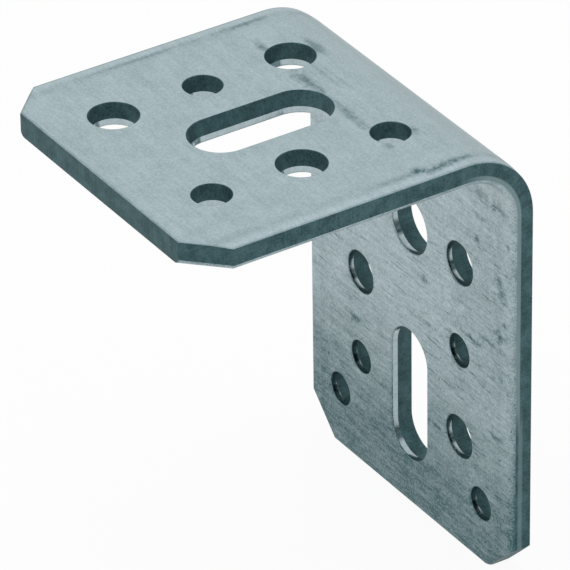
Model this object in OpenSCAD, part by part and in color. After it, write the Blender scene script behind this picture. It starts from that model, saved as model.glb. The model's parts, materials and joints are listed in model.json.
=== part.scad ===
// Heavy-gauge angle bracket: one strip of zinc-coated steel, punched flat and bent once.
// The bracket is drawn as it is used. The top leg lies flat and the upright hangs from it.
// X runs across the strip, Y runs out along the top leg, and Z points up.
// The origin is the centre of the bolt hole on the upright's back face.

/* [Strip] */
// Width of the strip
strip_w = 50; // [44:0.5:70]
// Thickness of the sheet
sheet_t = 3.5; // [2:0.1:4]
// Length of the top leg, from the back face to its free end
top_leg_l = 52.7; // [49:0.1:80]
// Height of the upright, from the top face to its free end
upright_h = 70; // [64:0.5:100]
// Radius of the bend on its outside
bend_r = 10.8; // [7:0.1:12]

/* [Edges] */
// Size of the cut corners on the top leg
top_corner = 5.2; // [1:0.1:8]
// Size of the cut corners on the upright
upright_corner = 5.2; // [1:0.1:6.5]
// Width of the rolled-over border along the outer face's long edges
border_w = 2.4; // [1:0.1:4]
// Drop of the outer face at those edges
border_drop = 0.2; // [0.1:0.05:0.7]
// Width of the pulled-in edge along the inner face's long edges
pull_w = 0.8; // [0.8:0.1:3]
// Drop of the inner face at those edges
pull_drop = 0.8; // [0.1:0.05:0.8]

/* [Holes] */
// Nail hole, as punched
nail_d = 5; // [3:0.1:6]
// Screw hole, as punched
screw_d = 6.5; // [4:0.1:8]
// Bolt hole in the upright, as punched
bolt_d = 8.8; // [6:0.1:10]
// Width of both slots, as punched
slot_w = 8.8; // [6:0.1:10]
// Length of both slots, end to end
slot_l = 21.2; // [14:0.1:26]

/* [Hole places] */
// Distance between the two columns of nail and screw holes
hole_gauge = 24.4; // [21:0.1:28]
// Distance between the rows of holes along each leg
hole_pitch = 14.1; // [11:0.1:15]
// First row of the top leg, out from the back face
top_first_row = 14.5; // [13.5:0.1:18]
// Last row of the upright, up from its free end
upright_last_row = 17.3; // [16:0.1:20]
// Middle of the slot in the top leg, out from the back face
top_slot_at = 27.2; // [24:0.1:34]
// Middle of the slot in the upright, up from its free end
upright_slot_at = 17.7; // [15:0.1:20]
// Distance between the two corner nail holes of the upright
corner_nail_gauge = 35.1; // [33:0.1:37]
// Corner nail holes, up from the free end of the upright
corner_nail_up = 9.1; // [8:0.1:10]

/* [Punching] */
// Gap between punch and die on each side, which widens a hole on the outer face
die_gap = 0.15; // [0.1:0.05:0.5]
// Depth of the clean-sheared wall below the inner face
land_depth = 1.1; // [0.8:0.1:1.9]
// Pulled-in rim where the punch goes in
rim = 0.3; // [0.1:0.05:0.6]

/* [Hidden] */
$fn = 96;
// Cutters reach this far past a face
over = 1;
// Length of each flat leg beyond the bend
top_flat = top_leg_l - bend_r;
upright_flat = upright_h - bend_r;
// The rows alternate: a screw hole on one side stands beside a nail hole on the other
rows = [0, 1, 2];
// First row of the upright and its bolt hole, down from the top face
upright_first_row = upright_h - upright_last_row - hole_pitch * (len(rows) - 1);

// One corner of the strip's section, where the face curves down by drop over width
module soft_corner(width, drop) {
    arc_r = (width * width + drop * drop) / (2 * drop);
    difference() {
        translate([-width, -drop]) square([width + over, drop + over]);
        translate([-width, -arc_r]) circle(r = arc_r);
    }
}

// Section of the strip, with its outer face at y = 0 and its inner face at y = -sheet_t
module strip_section() {
    difference() {
        translate([-strip_w / 2, -sheet_t]) square([strip_w, sheet_t]);
        for (side = [0, 1]) mirror([side, 0]) translate([strip_w / 2, 0]) {
            soft_corner(border_w, border_drop);
            translate([0, -sheet_t]) mirror([0, 1]) soft_corner(pull_w, pull_drop);
        }
    }
}

// The bent strip: a quarter turn about the bend's axis, with a flat leg drawn out from each end of it
module bent_strip() {
    translate([0, bend_r, 0]) rotate([-90, 0, 0]) linear_extrude(top_flat) mirror([0, 1]) strip_section();
    translate([0, bend_r, -bend_r]) rotate([0, -90, 180]) rotate_extrude(angle = 90, $fn = 180)
        translate([bend_r, 0]) rotate(-90) strip_section();
    translate([0, 0, -bend_r]) rotate([180, 0, 0]) linear_extrude(upright_flat) strip_section();
}

// Half outline of a punched hole. The punch goes in at y = 0 and breaks out at y = -sheet_t
module punch_outline(radius) {
    polygon([
        [0, over], [radius + rim, over], [radius + rim, 0], [radius, -rim], [radius, -land_depth],
        [radius + die_gap, -sheet_t], [radius + die_gap, -sheet_t - over], [0, -sheet_t - over]
    ]);
}

// Round hole along Z, punched down from z = 0
module punched_hole(diameter) {
    rotate_extrude() punch_outline(diameter / 2);
}

// Bolt hole along Z, punched down from z = 0 with a tight die, so its wall stays straight
module bolt_hole() {
    translate([0, 0, -sheet_t - over]) cylinder(d = bolt_d, h = sheet_t + 2 * over);
    translate([0, 0, -rim]) cylinder(d1 = bolt_d, d2 = bolt_d + 2 * rim, h = rim);
}

// Slot along Y, punched down from z = 0, with half-round ends
module punched_slot() {
    half = (slot_l - slot_w) / 2;
    for (turn = [0, 180]) rotate(turn) {
        translate([0, half, 0]) rotate_extrude(angle = 180) punch_outline(slot_w / 2);
        translate([0, half, 0]) rotate([90, 0, 0]) linear_extrude(2 * half) punch_outline(slot_w / 2);
    }
}

// Three rows of nail and screw holes, spaced along +Y. screw_side is where the first screw hole stands
module staggered_holes(screw_side) {
    for (row = rows, side = [-1, 1])
        translate([side * hole_gauge / 2, row * hole_pitch, 0])
            punched_hole((row % 2 == 0) == (side == screw_side) ? screw_d : nail_d);
}

// Everything punched through the top leg, from its underside
module top_holes() {
    translate([0, 0, -sheet_t]) mirror([0, 0, 1]) {
        translate([0, top_first_row, 0]) staggered_holes(1);
        translate([0, top_slot_at, 0]) punched_slot();
    }
}

// Everything punched through the upright, from its front
module upright_holes() {
    translate([0, sheet_t, 0]) rotate([-90, 0, 0]) {
        translate([0, upright_first_row, 0]) {
            staggered_holes(-1);
            bolt_hole();
        }
        translate([0, upright_h - upright_slot_at, 0]) punched_slot();
        for (side = [-1, 1])
            translate([side * corner_nail_gauge / 2, upright_h - corner_nail_up, 0]) punched_hole(nail_d);
    }
}

// Both cut corners of a free end that lies on y = 0, with the leg towards -Y
module corner_cuts(size) {
    for (side = [0, 1]) mirror([side, 0, 0]) translate([strip_w / 2, 0, -sheet_t - over])
        linear_extrude(sheet_t + 2 * over)
            polygon([[-size - over, over], [over, over], [over, -size - over]]);
}

module angle_bracket() {
    color([0.62, 0.68, 0.69]) translate([0, 0, upright_first_row]) difference() {
        bent_strip();
        top_holes();
        upright_holes();
        translate([0, top_leg_l, 0]) corner_cuts(top_corner);
        translate([0, 0, -upright_h]) rotate([-90, 0, 0]) mirror([0, 0, 1]) corner_cuts(upright_corner);
    }
}

angle_bracket();
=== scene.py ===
"""Looks of the angle bracket: one zinc-coated strip, punched flat from its inner face and bent once.

The strip is made flat, as it is punched, and is then carried round the bend. Flat places are in
millimetres: x across the strip, y along it from the foot of the bend, over the bend and out along the
top leg, and z up from the outer face, so the inner face is at -SHEET_T.
"""
import json
import math

import bmesh
import bpy
from mathutils import Matrix, Vector


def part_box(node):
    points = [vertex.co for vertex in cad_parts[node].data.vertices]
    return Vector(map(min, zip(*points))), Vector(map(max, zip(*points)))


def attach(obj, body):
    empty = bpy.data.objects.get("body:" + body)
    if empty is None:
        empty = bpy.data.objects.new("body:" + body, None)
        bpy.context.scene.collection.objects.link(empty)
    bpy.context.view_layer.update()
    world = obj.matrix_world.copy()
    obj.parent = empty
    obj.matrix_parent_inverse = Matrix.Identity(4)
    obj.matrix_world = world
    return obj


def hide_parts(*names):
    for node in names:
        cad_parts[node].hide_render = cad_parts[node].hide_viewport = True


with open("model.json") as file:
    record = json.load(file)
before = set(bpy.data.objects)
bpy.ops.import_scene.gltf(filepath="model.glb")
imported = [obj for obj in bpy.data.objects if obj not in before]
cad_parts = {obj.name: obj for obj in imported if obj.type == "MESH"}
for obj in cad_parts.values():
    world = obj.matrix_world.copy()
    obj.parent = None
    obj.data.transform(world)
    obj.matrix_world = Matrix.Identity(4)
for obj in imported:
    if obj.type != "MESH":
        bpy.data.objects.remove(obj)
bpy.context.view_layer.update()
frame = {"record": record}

MM = 0.001
NODE = "angle_bracket"
MOUNTS = {mount["name"]: mount for mount in frame["record"]["mounts"]}
LOW, HIGH = (Vector(corner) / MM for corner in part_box(NODE))

# The strip, from the frame
HALF_W = (HIGH.x - LOW.x) / 2
SHEET_T = MOUNTS["corner_nails"]["pos_m"][1] / MM

# Forms that the frame doesn't name
BEND_R = 10.8           # outside of the bend
CORNER = 5.2            # cut corners of both free ends
BORDER_W = 2.4          # rolled-over border along the long edges of the outer face
BORDER_DROP = 0.2
PULL = 0.8              # pulled-in edge of the inner face, along its sides and cut corners
BREAK_EDGE = 0.1        # worn edge of every cut on the outer face
END_BREAK = 0.35        # worn inner edge of both free ends
RIM = 0.3               # pulled-in rim where the punch went in
DIE_GAP = {"top": 0.25, "upright": 0}  # widening of each leg's holes where the punch broke out
LAND = 1.1              # clean-sheared depth below the inner face
# Painted shade: a dark break in the bright land of the upright's holes, where a reflection would be dark
LAND_SHADE_TURN = -34         # direction, in degrees, in which painted shade darkens the land of the upright's holes
LAND_SHADE_REACH = 20
LAND_SHADE_REST = 0.12        # share of that painted shade in the rest of the land

# Lengths along the flat strip
BEND_START = HIGH.z - BEND_R                    # height of the bend's foot
ARC = (BEND_R - SHEET_T / 2) * math.pi / 2      # length of the bend along the middle of the sheet
UPRIGHT_END = LOW.z - BEND_START
TOP_END = ARC + HIGH.y - BEND_R
MIDDLE, HALF_L = (TOP_END + UPRIGHT_END) / 2, (TOP_END - UPRIGHT_END) / 2

# How finely the strip is meshed
HOLE_STEPS = 72
BEND_STEPS = 20
BORDER_STEPS = 4
PULL_STEPS = 6          # of the pulled-in edges and rims
END_STEPS = 3
BREAK_STEPS = 2
TOUCH = 1e-3            # places nearer than this are one place
SHARP_ANGLE = 40        # edges that turn more than this, in degrees, stay sharp

# Material slots of the bracket
OUTER, INNER, SHEARED, BURNISHED = range(4)

# How much a normal of the flat strip rises on its outer face, on its inner face and where it is level
OUTER_RISE, INNER_RISE, LEVEL_RISE = 0.6, -0.05, 0.99

# Plain colours of the finishes
# the dark end of the zinc's tone, towards which both wear and painted shade go
WORN_AND_SHADED_ZINC = (0.035, 0.105, 0.115)
BRIGHT_ZINC = (0.61, 0.715, 0.755)
DARK_STEEL = (0.010, 0.034, 0.038)
CUT_STEEL = (0.112, 0.213, 0.230)
SMOOTH_STEEL = (0.25, 0.35, 0.36)
BURNISHED_STEEL = (0.43, 0.52, 0.545)

# Limits of a noise between which most masks rise
EVEN = {"Low": 0.3, "High": 0.7}

# Tone of the zinc on each face. "tone" is the middle, "fall_from" the heights between which painted shade
# makes the tone fall,
# "line_inset" the place of a painted shade line along the borders, and the rest what each effect gives or
# takes
# "line", "edge", "fall", "foot" and "pulled" give painted shade, "rim" gives a painted sheen
OUTER_ZINC = {
    "tone": 0.527, "grain": 0.15, "fine": 0.06, "broad": 0.04, "clouds": 0.06, "scratch": 0.06, "fleck": 0.06,
    "line": 0.14, "line_inset": 2.4, "rim": 0.06, "edge": 0.25, "pulled": 0,
    "fall": 0.10, "fall_from": (24.52, 22.5), "foot": 0,
}
INNER_ZINC = {
    "tone": 0.66, "grain": 0.24, "fine": 0.14, "broad": 0.10, "clouds": 0.12, "scratch": 0.36, "fleck": 0.32,
    "line": 0.10, "line_inset": 3.1, "rim": 0, "edge": 0, "pulled": 0.2,
    "fall": 0.09, "fall_from": (15, -25), "foot": 0.45,
}
FOOT_SHADE_FROM = (-12, LOW.z)                            # heights between which painted shade darkens the foot
PULLED_SHADE_FROM = (0.05 - SHEET_T, PULL - SHEET_T)      # depths between which painted shade darkens the pulled-in edges and rims
STRAY = 0.3                                         # share of the scratches outside their patches

# Marks of handling, and one broad painted shade, as (place, reach, loss of tone): places and reaches in
# millimetres in the part's frame
TOP_MARKS = [
    ((5.3, 16.5, 24.5), (6, 1.8, 1), 0.34), ((-5.7, 16.5, 24.5), (7.5, 1.3, 1), 0.3),
    ((-1, 16.1, 24.5), (13, 0.7, 1), 0.12), ((16.4, 16.4, 24.5), (2.8, 1.1, 1), 0.36),
    ((12.4, 10.3, 24.5), (4.5, 1.5, 1), 0.34), ((5, 13.4, 24.5), (8, 0.6, 1), 0.16),
    ((4, 12.4, 24.5), (7, 0.5, 1), 0.14), ((-13.6, 11.7, 24.5), (2.2, 1.4, 1), 0.3),
    ((-15.1, 16.6, 24.5), (1.8, 1, 1), 0.24), ((-22.3, 17.1, 24.5), (1.4, 1.5, 1), 0.42),
    ((-23.3, 15.4, 24.5), (1.2, 1.9, 1), 0.36), ((-23.2, 13.6, 24.5), (1, 2.4, 1), 0.36),
    ((-22.9, 11.8, 24.5), (0.9, 2.6, 2), 0.34), ((-23, 9.8, 24.2), (0.8, 2.6, 2), 0.26),
    ((-22.7, 21, 24.5), (0.9, 6, 1), 0.16), ((23, 15, 24.5), (0.9, 7, 1), 0.3),
    ((23, 32, 24.5), (0.7, 16, 1), 0.18),
]
INNER_MARKS = [
    ((-17.3, 4, 13.8), (4.5, 4, 1.8), 0.3), ((-21.8, 4, 13.6), (3.5, 4, 2), 0.3),
    ((-17.7, 3.5, 9.8), (1.8, 1, 0.8), 0.3), ((-16.5, 3.5, 6.2), (1, 1, 0.8), 0.34),
    ((-24, 3.5, 8.5), (0.7, 1, 1.3), 0.34), ((-3.8, 3.5, -6.8), (1.8, 1, 1.1), 0.38),
    ((-21.7, 3.5, 2.2), (1.8, 1, 1.6), 0.4), ((-22.8, 3.5, 0.3), (1.8, 1, 1.8), 0.4),
    ((13.7, 3.5, -22.3), (2.8, 1, 1.5), 0.32), ((-23.2, 3.5, -4.4), (1, 1, 0.9), 0.4),
    ((-5, 3.5, -13.6), (5, 1, 0.5), 0.3), ((-10, 3.5, -12.1), (5, 1, 0.5), 0.3),
    ((-15, 3.5, -10.4), (5.5, 1, 0.6), 0.34), ((-19.5, 3.5, -8.8), (6, 1, 0.6), 0.36),
    ((-22, 3.5, -6.6), (2.4, 1, 1.4), 0.38), ((-22.6, 3.5, -13.4), (1.1, 1, 0.9), 0.3),
    ((-24, 3.5, -14.8), (0.6, 1, 0.6), 0.4), ((-6.9, 3.5, -29.3), (1.4, 1, 0.5), 0.34),
    # The last mark is painted shade: broad and soft, it darkens the upright's half at negative x
    ((-21.6, 3.5, -23.3), (3.4, 1, 0.9), 0.32), ((-19, 3.5, -4), (17, 3, 28), 0.15),
]

# Smoother strips that the shear left on the long sides, one near the inner face and one at the foot. Each
# pair is where on the flat strip the smoothness starts and where it is full
SIDE_FROM = (HALF_W - 0.3, HALF_W - 0.1)
NEAR_STRIP = {"depth": (-2.0, -2.25), "middle": -10, "reach": (26, 20), "share": 0.75}
FOOT_STRIP = {"along": (-28, -36), "middle": -2, "reach": (0.5, 0.2), "share": 0.4}

BURNISHED_TONE = 0.75   # of the polished land, all of which the painted shade takes away
# mask of the painted shade on the land at which it is full
LAND_SHADE_FULL = 0.6

# The room, in metres and watts
FLOOR_SIZE = 8
FLOOR_GREY = (0.85, 0.85, 0.85, 1)
FLOOR_WHITE = 0.93      # share of plain white in what is seen of the floor, so that the rest shows shadow
ROOM_LIGHT = 0.75
KEY_PLACE, KEY_SIZE, KEY_POWER = Vector((0.25, 0.15, 1.15)), 0.8, 4

# The view: a long lens
FRAME_PX = 570
FOCAL_PX = 6538.3
TARGET = Vector((2.056, 22.388, -4.177))
DISTANCE = 891
AZIMUTH, ELEVATION, ROLL = 237.43, 32.27, 0.82
FARTHEST = 20           # metres


def new_parts(result, kind):
    """The parts of one kind that a mesh operator made."""
    return [part for part in result["geom"] if isinstance(part, kind)]


def rim_edges(strip, level):
    """Edges round a face of the flat strip: those of its sides and corners, and those of its ends."""
    rim = [edge for edge in strip.edges if all(abs(vert.co.z - level) < TOUCH for vert in edge.verts)]
    ends = [edge for edge in rim if abs(edge.verts[0].co.y - edge.verts[1].co.y) < TOUCH]
    return [edge for edge in rim if edge not in ends], ends


def soften(strip, edges, radius, steps):
    """Rounds edges off."""
    bmesh.ops.bevel(strip, geom=edges, offset=radius, offset_type="OFFSET", segments=steps, profile=0.5,
                    material=-1, affect="EDGES")


def make_blank(strip):
    """The flat strip as it is sheared off, with cut corners and softened edges."""
    size = Matrix.Diagonal((HALF_W, HALF_L, 1, 1))
    bmesh.ops.create_grid(strip, x_segments=1, y_segments=1, size=1,
                          matrix=Matrix.Translation((0, MIDDLE, 0)) @ size)
    bmesh.ops.bevel(strip, geom=strip.verts[:], offset=CORNER, offset_type="OFFSET", segments=1,
                    profile=0.5, material=-1, affect="VERTICES")
    lowered = bmesh.ops.extrude_face_region(strip, geom=strip.faces[:])
    bmesh.ops.translate(strip, verts=new_parts(lowered, bmesh.types.BMVert), vec=(0, 0, -SHEET_T))
    bmesh.ops.recalc_face_normals(strip, faces=strip.faces)
    sides, _ = rim_edges(strip, -SHEET_T)
    soften(strip, sides, PULL, PULL_STEPS)
    _, ends = rim_edges(strip, -SHEET_T)
    soften(strip, ends, END_BREAK, END_STEPS)
    sides, ends = rim_edges(strip, 0)
    soften(strip, sides + ends, BREAK_EDGE, BREAK_STEPS)
    # Softened edges that meet at a corner leave slivers there
    bmesh.ops.remove_doubles(strip, verts=strip.verts, dist=TOUCH)
    bmesh.ops.dissolve_degenerate(strip, edges=strip.edges, dist=TOUCH)
    strip.normal_update()
    for face in strip.faces:
        rise = face.normal.z
        face.material_index = OUTER if rise > OUTER_RISE else INNER if rise < INNER_RISE else SHEARED


def score(strip, place, normal):
    """Cuts a line right across the strip, so that it can bend there."""
    everything = strip.verts[:] + strip.edges[:] + strip.faces[:]
    bmesh.ops.bisect_plane(strip, geom=everything, dist=TOUCH, plane_co=place, plane_no=normal)


def roll_borders(strip):
    """Lets the outer face fall away along both long edges."""
    for step in range(BORDER_STEPS):
        inset = BORDER_W * (step + 1) / BORDER_STEPS
        for side in (-1, 1):
            score(strip, (side * (HALF_W - inset), 0, 0), (1, 0, 0))
    for vert in strip.verts:
        reach = max(0, abs(vert.co.x) - (HALF_W - BORDER_W)) / BORDER_W
        vert.co.z -= BORDER_DROP * reach ** 2 * (1 + vert.co.z / SHEET_T)


def wall_rings(gap):
    """(inset, depth, material) of each ring of a punched wall, from the outer face to the inner face."""
    rings = [
        (gap + BREAK_EDGE, 0, OUTER),
        (gap + BREAK_EDGE / 3, BREAK_EDGE / 3, SHEARED),
        (gap, BREAK_EDGE, SHEARED),
        (0, SHEET_T - LAND, SHEARED),
        (0, SHEET_T - RIM, BURNISHED),
    ]
    for step in range(1, PULL_STEPS + 1):
        turn = math.pi / 2 * step / PULL_STEPS
        rings.append((RIM * (1 - math.cos(turn)), SHEET_T - RIM * (1 - math.sin(turn)), INNER))
    return rings


def punch_wall(strip, leg, x, y, radius, half):
    """Makes the wall of a hole, or of a slot that is straight for twice half. Returns its two rims."""
    rings = wall_rings(DIE_GAP[leg])
    place = Matrix.Translation((x, y, 0))
    circle = bmesh.ops.create_circle(strip, cap_ends=False, segments=HOLE_STEPS, radius=radius + rings[0][0],
                                     matrix=place @ Matrix.Rotation(math.pi / HOLE_STEPS, 4, "Z"))
    verts = list(circle["verts"])
    first = last = list({edge for vert in verts for edge in vert.link_edges})
    for (inset, depth, _), (next_inset, next_depth, material) in zip(rings, rings[1:]):
        grown = bmesh.ops.extrude_edge_only(strip, edges=last)
        ring = new_parts(grown, bmesh.types.BMVert)
        size = (radius + next_inset) / (radius + inset)
        bmesh.ops.scale(strip, verts=ring, vec=(size, size, 1), space=place.inverted())
        bmesh.ops.translate(strip, verts=ring, vec=(0, 0, depth - next_depth))
        for face in new_parts(grown, bmesh.types.BMFace):
            face.material_index = material
        last = new_parts(grown, bmesh.types.BMEdge)
        verts += ring
    # Painted shade on the land of the upright's holes, strongest in one direction round each hole
    if leg == "upright":
        land_shade = strip.verts.layers.float["land_shade"]
        for vert in verts:
            turn = math.degrees(math.atan2(vert.co.y - y, vert.co.x - x))
            vert[land_shade] = max(LAND_SHADE_REST, 1 - abs(turn - LAND_SHADE_TURN) / LAND_SHADE_REACH)
    for end in (-1, 1):
        half_ring = [vert for vert in verts if (vert.co.y - y) * end > 0]
        bmesh.ops.translate(strip, verts=half_ring, vec=(0, end * half, 0))
    ring = set(ring)
    return first, [edge for edge in last if set(edge.verts) <= ring]


def open_field(strip, start, end, side):
    """Takes out the flat face between two places along the strip and returns the edges round it."""
    faces = [face for face in strip.faces
             if face.normal.z * side > LEVEL_RISE and start < face.calc_center_median().y < end]
    field = max(faces, key=lambda face: face.calc_area())
    edges = field.edges[:]
    bmesh.ops.delete(strip, geom=[field], context="FACES_ONLY")
    return edges


def punch_leg(strip, start, end, holes):
    """Punches one leg's holes and fills its two faces round them."""
    strip.normal_update()
    outer, inner = open_field(strip, start, end, 1), open_field(strip, start, end, -1)
    for hole in holes:
        first, last = punch_wall(strip, *hole)
        outer += first
        inner += last
    for edges, normal, material in ((outer, (0, 0, 1), OUTER), (inner, (0, 0, -1), INNER)):
        filled = bmesh.ops.triangle_fill(strip, edges=edges, use_beauty=True, normal=normal)
        for face in new_parts(filled, bmesh.types.BMFace):
            face.material_index = material


def top_flat(y):
    """Place along the flat strip of a place on the top leg."""
    return y - BEND_R + ARC


def upright_flat(z):
    """Place along the flat strip of a height on the upright."""
    return z - BEND_START


def trio(name, along, first_turn):
    """(x, place along the leg, radius) of the three holes of a round pattern in the record."""
    dims, centre = MOUNTS[name]["dims"], Vector(MOUNTS[name]["pos_m"]) / MM
    turns = [math.radians(first_turn + 120 * step) for step in range(3)]
    reach = dims["pcd_mm"] / 2
    return [(centre.x + reach * math.cos(turn), centre[along] + reach * math.sin(turn), dims["hole_r_mm"])
            for turn in turns]


def leg_holes(leg, along, turns, to_flat):
    """Every screw hole, nail hole and slot of one leg, as punch_wall takes them."""
    holes = []
    for kind, turn in turns.items():
        for x, place, radius in trio(f"{leg}_{kind}", along, turn):
            holes.append((leg, x, to_flat(place), radius, 0))
    slot = MOUNTS[f"{leg}_slot"]
    radius = slot["dims"]["hole_r_mm"]
    half = slot["dims"]["slot_length_mm"] / 2 - radius
    holes.append((leg, 0, to_flat(slot["pos_m"][along] / MM), radius, half))
    return holes


def upright_extras():
    """The corner nail holes and the bolt hole."""
    nails, bolt = MOUNTS["corner_nails"], MOUNTS["wall_bolt"]
    spread, height = nails["dims"]["spacing_x_mm"] / 2, upright_flat(nails["pos_m"][2] / MM)
    holes = [("upright", side * spread, height, nails["dims"]["hole_r_mm"], 0) for side in (-1, 1)]
    return holes + [("upright", 0, upright_flat(bolt["pos_m"][2] / MM), bolt["dims"]["r_mm"], 0)]


def bent(place):
    """Place on the bent strip, in metres, of a flat place."""
    x, along, depth = place.x, place.y, -place.z
    if along <= 0:
        return Vector((x, depth, BEND_START + along)) * MM
    if along >= ARC:
        return Vector((x, BEND_R + along - ARC, HIGH.z - depth)) * MM
    turn, radius = along / (BEND_R - SHEET_T / 2), BEND_R - depth
    return Vector((x, BEND_R - radius * math.cos(turn), BEND_START + radius * math.sin(turn))) * MM


def bracket():
    """The whole bracket, which stands for the CAD solid."""
    strip = bmesh.new()
    # A layer for the painted shade on the land of the upright's holes
    strip.verts.layers.float.new("land_shade")
    make_blank(strip)
    for step in range(BEND_STEPS + 1):
        score(strip, (0, ARC * step / BEND_STEPS, 0), (0, 1, 0))
    roll_borders(strip)
    punch_leg(strip, ARC, TOP_END, leg_holes("top", 1, {"screws": 60, "nails": 0}, top_flat))
    punch_leg(strip, UPRIGHT_END, 0,
              leg_holes("upright", 2, {"screws": 0, "nails": 60}, upright_flat) + upright_extras())
    flat_place = strip.verts.layers.float_vector.new("flat_place")
    for vert in strip.verts:
        vert[flat_place] = vert.co
        vert.co = bent(vert.co)
    bmesh.ops.recalc_face_normals(strip, faces=strip.faces)
    for face in strip.faces:
        face.smooth = True
    mesh = bpy.data.meshes.new("bracket")
    strip.to_mesh(mesh)
    strip.free()
    mesh.set_sharp_from_angle(angle=math.radians(SHARP_ANGLE))
    piece = bpy.data.objects.new("bracket", mesh)
    bpy.context.scene.collection.objects.link(piece)
    flat_faces = piece.modifiers.new("flat_faces", "WEIGHTED_NORMAL")
    flat_faces.keep_sharp = True
    for material in (zinc("zinc_outer", OUTER_ZINC, TOP_MARKS), zinc("zinc_inner", INNER_ZINC, INNER_MARKS),
                     sheared_steel(), burnished_steel()):
        mesh.materials.append(material)
    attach(piece, "root")
    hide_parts(NODE)


def add(tree, kind, inputs=None, **settings):
    """Adds a node. Each input is a plain value, or another node's output to link."""
    node = tree.nodes.new(kind if kind.startswith("Node") else "ShaderNode" + kind)
    for name, value in settings.items():
        setattr(node, name, value)
    for key, value in (inputs or {}).items():
        if isinstance(value, bpy.types.NodeSocket):
            tree.links.new(value, node.inputs[key])
        else:
            node.inputs[key].default_value = value
    return node


def calc(tree, operation, *values):
    """One step of arithmetic."""
    return add(tree, "Math", dict(enumerate(values)), operation=operation).outputs[0]


def vector_calc(tree, operation, *values):
    """One step of arithmetic with vectors."""
    return add(tree, "VectorMath", dict(enumerate(values)), operation=operation).outputs[0]


def away(tree, value, place):
    """How far a value is from a place, either way."""
    return calc(tree, "ABSOLUTE", calc(tree, "SUBTRACT", value, place))


def between(tree, value, low, high):
    """A mask that rises from 0 at low to 1 at high."""
    return add(tree, "MapRange", {"Value": value, "From Min": low, "From Max": high},
               interpolation_type="SMOOTHSTEP").outputs[0]


def summed(tree, start, changes):
    """Adds each (mask, amount) to a plain start."""
    for mask, amount in changes:
        start = calc(tree, "MULTIPLY_ADD", mask, amount, start)
    return start


def in_mm(tree):
    """Object coordinates in millimetres."""
    place = add(tree, "TexCoord").outputs["Object"]
    return add(tree, "VectorMath", {0: place, "Scale": 1 / MM}, operation="SCALE").outputs[0]


def on_strip(tree):
    """Place on the flat strip in millimetres: across, along and up from the outer face."""
    return add(tree, "Attribute", attribute_name="flat_place").outputs["Vector"]


def split(tree, vector):
    """The three parts of a vector."""
    return add(tree, "SeparateXYZ", {0: vector}).outputs


def new_group(name, floats=(), vectors=()):
    """Starts a node group with named inputs. Returns its tree and the sockets of its inputs."""
    tree = bpy.data.node_groups.new(name, "ShaderNodeTree")
    for socket in floats:
        tree.interface.new_socket(name=socket, in_out="INPUT", socket_type="NodeSocketFloat")
    for socket in vectors:
        tree.interface.new_socket(name=socket, in_out="INPUT", socket_type="NodeSocketVector")
    tree.interface.new_socket(name="Mask", in_out="OUTPUT", socket_type="NodeSocketFloat")
    return tree, tree.nodes.new("NodeGroupInput").outputs


def noise_of(tree, place, sizes, detail):
    """Noise with features of a size, in millimetres, along each axis."""
    size = add(tree, "CombineXYZ", dict(enumerate(sizes))).outputs[0]
    place = vector_calc(tree, "DIVIDE", place, size)
    return add(tree, "TexNoise", {"Vector": place, "Scale": 1, "Detail": detail, "Roughness": 0.6}).outputs[0]


def streaks_group():
    """Rolling streaks across the strip: Spacing apart and Run long, in millimetres."""
    tree, given = new_group("rolling_streaks", floats=("Spacing", "Run", "Low", "High"))
    noise = noise_of(tree, in_mm(tree), (given["Run"], given["Spacing"], given["Spacing"]), detail=2)
    add(tree, "NodeGroupOutput", {0: between(tree, noise, given["Low"], given["High"])})
    return tree


def blotches_group():
    """Cloudy blotches of the coating: Size in millimetres."""
    tree, given = new_group("coating_blotches", floats=("Size", "Low", "High"))
    noise = noise_of(tree, in_mm(tree), (given["Size"], given["Size"], given["Size"]), detail=3)
    add(tree, "NodeGroupOutput", {0: between(tree, noise, given["Low"], given["High"])})
    return tree


def tear_group():
    """Marks drawn through the sheet by a cut: Spacing apart, in millimetres."""
    through = 4
    tree, given = new_group("tear_marks", floats=("Spacing", "Low", "High"))
    noise = noise_of(tree, on_strip(tree), (given["Spacing"], given["Spacing"], through), detail=3)
    add(tree, "NodeGroupOutput", {0: between(tree, noise, given["Low"], given["High"])})
    return tree


def border_group():
    """A band along both long edges: Inset and Width in millimetres."""
    tree, given = new_group("border_band", floats=("Inset", "Width"))
    across, _, _ = split(tree, in_mm(tree))
    inset = calc(tree, "SUBTRACT", HALF_W, away(tree, across, 0))
    add(tree, "NodeGroupOutput", {0: between(tree, away(tree, inset, given["Inset"]), given["Width"], 0)})
    return tree


def edge_shade_group():
    """Painted shade that grows towards the cut edges of the strip, its corners too: Width in millimetres."""
    tree, given = new_group("edge_shade", floats=("Width",))
    across, along, _ = split(tree, on_strip(tree))
    side = calc(tree, "SUBTRACT", HALF_W, away(tree, across, 0))
    end = calc(tree, "SUBTRACT", HALF_L, away(tree, along, MIDDLE))
    corner = calc(tree, "SUBTRACT", calc(tree, "ADD", side, end), CORNER)
    nearest = calc(tree, "MINIMUM", calc(tree, "MINIMUM", side, end), corner)
    add(tree, "NodeGroupOutput", {0: between(tree, nearest, given["Width"], 0)})
    return tree


def smear_and_shade_group():
    """A frayed patch about Place that dies out near Reach, in millimetres. It draws the handling marks and
    one broad painted shade.
    """
    fray_depth, gone, full = 1.6, 1.7, 0.7
    tree, given = new_group("smear_and_shade", vectors=("Place", "Reach"))
    place = in_mm(tree)
    off = vector_calc(tree, "DIVIDE", vector_calc(tree, "SUBTRACT", place, given["Place"]), given["Reach"])
    length = add(tree, "VectorMath", {0: off}, operation="LENGTH").outputs["Value"]
    fray = add(tree, "TexNoise", {"Vector": place, "Scale": 0.9, "Detail": 4, "Roughness": 0.7}).outputs[0]
    frayed = calc(tree, "MULTIPLY_ADD", fray, fray_depth, length)
    add(tree, "NodeGroupOutput", {0: between(tree, frayed, gone, full)})
    return tree


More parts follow.
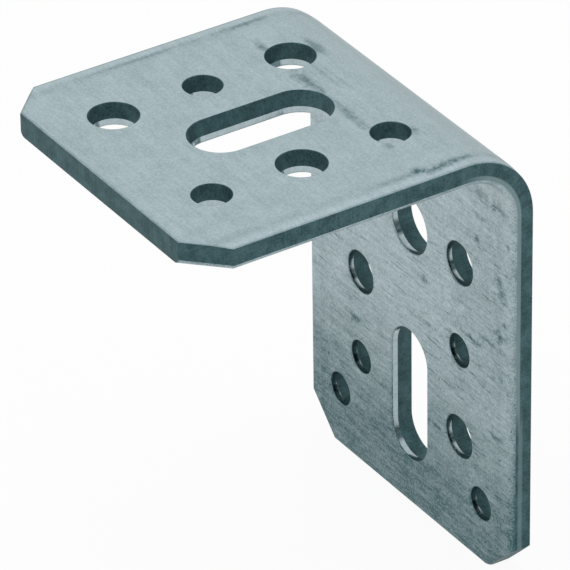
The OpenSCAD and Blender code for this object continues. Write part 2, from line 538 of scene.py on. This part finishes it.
STREAKS, BLOTCHES, TEARS = streaks_group(), blotches_group(), tear_group()
BORDER, EDGE_SHADE, SMEAR_AND_SHADE = border_group(), edge_shade_group(), smear_and_shade_group()


def masked(tree, group, **values):
    """Places a node group with its values and returns its mask."""
    return add(tree, "Group", values, node_tree=group).outputs[0]


def color_mix(tree, mask, low, high):
    """Goes by a mask from low, a colour or another node's output, to the colour high."""
    low = low if isinstance(low, bpy.types.NodeSocket) else (*low, 1)
    return add(tree, "Mix", {0: mask, 6: low, 7: (*high, 1)}, data_type="RGBA").outputs[2]


def finish_of(name, metallic):
    """A new material, with its node tree and shader."""
    material = bpy.data.materials.new(name)
    material.use_nodes = True
    shader = material.node_tree.nodes["Principled BSDF"]
    shader.inputs["Metallic"].default_value = metallic
    return material, material.node_tree, shader


def dress(tree, shader, color, roughness, height, depth_mm):
    """Gives a shader its colour, its roughness and a bump of a depth."""
    raised = add(tree, "Bump", {"Height": height, "Distance": depth_mm * MM, "Strength": 1}).outputs[0]
    for name, value in (("Base Color", color), ("Roughness", roughness), ("Normal", raised)):
        tree.links.new(value, shader.inputs[name])


def zinc(name, look, marks):
    """Zinc coating, streaked across the strip by rolling, with handling marks, and with painted shade and a
    painted sheen along its borders, edges, bend and foot.
    """
    material, tree, shader = finish_of(name, metallic=0.8)
    fine = masked(tree, STREAKS, Spacing=0.3, Run=3, **EVEN)
    clouds = masked(tree, BLOTCHES, Size=4, **EVEN)
    spread = {
        "grain": masked(tree, BLOTCHES, Size=0.28, **EVEN), "fine": fine,
        "broad": masked(tree, STREAKS, Spacing=1.3, Run=16, **EVEN), "clouds": clouds,
    }
    patches = masked(tree, BLOTCHES, Size=9, Low=0.35, High=0.6)
    scratches = masked(tree, STREAKS, Spacing=0.26, Run=4, Low=0.6, High=0.7)
    scratches = calc(tree, "MULTIPLY", scratches, summed(tree, STRAY, [(patches, 1 - STRAY)]))
    flecks = masked(tree, BLOTCHES, Size=0.9, Low=0.64, High=0.74)
    # Painted shade: a patchy dark line along both borders of each face
    line = calc(tree, "MULTIPLY", masked(tree, BORDER, Inset=look["line_inset"], Width=1.2), clouds)
    _, _, height = split(tree, in_mm(tree))
    _, _, depth = split(tree, on_strip(tree))

    changes = [(mask, look[effect]) for effect, mask in spread.items()]
    changes += [(scratches, -look["scratch"]), (flecks, -look["fleck"]), (line, -look["line"])]
    # Painted sheen: a lighter strip along the very edges of the outer face's borders
    changes.append((masked(tree, BORDER, Inset=0.7, Width=1.3), look["rim"]))
    # Painted shade that deepens towards the cut edges of the outer face
    changes.append((masked(tree, EDGE_SHADE, Width=0.6), -look["edge"]))
    # Handling marks, and one broad painted shade on the upright
    changes += [(masked(tree, SMEAR_AND_SHADE, Place=place, Reach=reach), -loss) for place, reach, loss in marks]
    # Painted shade: the outer face darkens down over the bend, the inner face down the upright
    changes.append((between(tree, height, *look["fall_from"]), -look["fall"]))
    # Painted shade that darkens the upright towards its foot
    changes.append((between(tree, height, *FOOT_SHADE_FROM), -look["foot"]))
    # Painted shade on the inner face's pulled-in edges and rims, darker as they turn away from it
    changes.append((between(tree, depth, *PULLED_SHADE_FROM), -look["pulled"]))
    tone = summed(tree, look["tone"] - sum(look[effect] for effect in spread) / 2, changes)

    dress(tree, shader, color_mix(tree, tone, WORN_AND_SHADED_ZINC, BRIGHT_ZINC),
          roughness=summed(tree, 0.36, [(clouds, 0.08), (fine, 0.06)]),
          height=summed(tree, 0, [(fine, 0.5), (clouds, 0.8), (scratches, -0.4)]), depth_mm=0.006)
    return material


def smooth_strips(tree):
    """A mask of the smoother strips on the long sides."""
    across, along, depth = split(tree, on_strip(tree))
    side = between(tree, away(tree, across, 0), *SIDE_FROM)
    near = calc(tree, "MULTIPLY", between(tree, depth, *NEAR_STRIP["depth"]),
                between(tree, away(tree, along, NEAR_STRIP["middle"]), *NEAR_STRIP["reach"]))
    foot = calc(tree, "MULTIPLY", between(tree, along, *FOOT_STRIP["along"]),
                between(tree, away(tree, depth, FOOT_STRIP["middle"]), *FOOT_STRIP["reach"]))
    strips = summed(tree, 0, [(near, NEAR_STRIP["share"]), (foot, FOOT_STRIP["share"])])
    return calc(tree, "MULTIPLY", side, strips)


def sheared_steel():
    """Bare steel where the sheet was cut: dark and rough, with marks through its thickness."""
    material, tree, shader = finish_of("sheared_steel", metallic=0.6)
    shader.inputs["Specular IOR Level"].default_value = 0.1
    grain = masked(tree, BLOTCHES, Size=0.3, **EVEN)
    clouds = masked(tree, BLOTCHES, Size=2.2, **EVEN)
    tears = masked(tree, TEARS, Spacing=0.3, **EVEN)
    tone = summed(tree, 0.1, [(grain, 0.35), (clouds, 0.3), (tears, 0.12)])
    steel = color_mix(tree, tone, DARK_STEEL, CUT_STEEL)
    dress(tree, shader, color_mix(tree, smooth_strips(tree), steel, SMOOTH_STEEL),
          roughness=summed(tree, 0.45, [(grain, 0.2)]),
          height=summed(tree, 0, [(grain, 0.5), (tears, 0.5)]), depth_mm=0.025)
    return material


def burnished_steel():
    """The clean-sheared land in a hole, polished by the punch, with painted shade in the upright's holes."""
    material, tree, shader = finish_of("burnished_steel", metallic=1)
    grain = masked(tree, BLOTCHES, Size=0.5, **EVEN)
    tears = masked(tree, TEARS, Spacing=0.35, **EVEN)
    # Painted shade: the dark break in the bright land
    land_shade = between(tree, add(tree, "Attribute", attribute_name="land_shade").outputs["Fac"], 0, LAND_SHADE_FULL)
    tone = summed(tree, BURNISHED_TONE, [(grain, 0.15), (tears, 0.12), (land_shade, -BURNISHED_TONE)])
    dress(tree, shader, color_mix(tree, tone, DARK_STEEL, BURNISHED_STEEL),
          roughness=summed(tree, 0.1, [(grain, 0.1)]), height=tears, depth_mm=0.003)
    return material


def seen(tree):
    """1 for the rays that see the plain white: from the camera, from gloss and through glass."""
    path = add(tree, "LightPath").outputs
    kinds = ("Is Camera Ray", "Is Glossy Ray", "Is Transmission Ray")
    return summed(tree, 0, [(path[kind], 1) for kind in kinds])


def floor():
    """A plain white floor that keeps a faint shadow."""
    bpy.ops.mesh.primitive_plane_add(size=FLOOR_SIZE, location=(0, 0, LOW.z * MM))
    plane = bpy.context.object
    plane.name = "floor"
    material = bpy.data.materials.new("floor")
    material.use_nodes = True
    tree = material.node_tree
    tree.nodes.clear()
    matte = add(tree, "BsdfDiffuse", {"Color": FLOOR_GREY}).outputs[0]
    white = add(tree, "Emission", {"Strength": 1}).outputs[0]
    share = calc(tree, "MULTIPLY", seen(tree), FLOOR_WHITE)
    mix = add(tree, "MixShader", {0: share, 1: matte, 2: white}).outputs[0]
    add(tree, "OutputMaterial", {"Surface": mix})
    plane.data.materials.append(material)


def studio():
    """Even light from all round, and plain white past the floor."""
    world = bpy.data.worlds.new("studio")
    bpy.context.scene.world = world
    world.use_nodes = True
    tree = world.node_tree
    tree.nodes.clear()
    light = add(tree, "Background", {"Color": (1, 1, 1, 1), "Strength": ROOM_LIGHT}).outputs[0]
    white = add(tree, "Background", {"Color": (1, 1, 1, 1), "Strength": 1}).outputs[0]
    mix = add(tree, "MixShader", {0: seen(tree), 1: light, 2: white}).outputs[0]
    add(tree, "OutputWorld", {"Surface": mix})


def softbox(name, place, size, power):
    """A square lamp that points at the origin."""
    lamp_data = bpy.data.lights.new(name, "AREA")
    lamp_data.size = size
    lamp_data.energy = power
    lamp = bpy.data.objects.new(name, lamp_data)
    bpy.context.scene.collection.objects.link(lamp)
    lamp.location = place
    lamp.rotation_euler = (-place).to_track_quat("-Z", "Y").to_euler()


def camera():
    """The view from above, towards the inner side of the upright."""
    lens = bpy.data.cameras.new("camera")
    lens.sensor_width = 36
    lens.lens = FOCAL_PX / FRAME_PX * lens.sensor_width
    lens.clip_end = FARTHEST
    eye = bpy.data.objects.new("camera", lens)
    bpy.context.scene.collection.objects.link(eye)
    bpy.context.scene.camera = eye
    turn, rise = math.radians(AZIMUTH), math.radians(ELEVATION)
    back = Vector((math.sin(turn) * math.cos(rise), -math.cos(turn) * math.cos(rise), math.sin(rise)))
    right = Vector((0, 0, 1)).cross(back).normalized()
    level = Matrix((right, back.cross(right), back)).transposed()
    tilted = level @ Matrix.Rotation(math.radians(-ROLL), 3, "Z")
    eye.matrix_world = Matrix.Translation((TARGET + back * DISTANCE) * MM) @ tilted.to_4x4()


bracket()
floor()
studio()
softbox("key", KEY_PLACE, KEY_SIZE, KEY_POWER)
camera()
bpy.context.scene.view_settings.view_transform = "Standard"
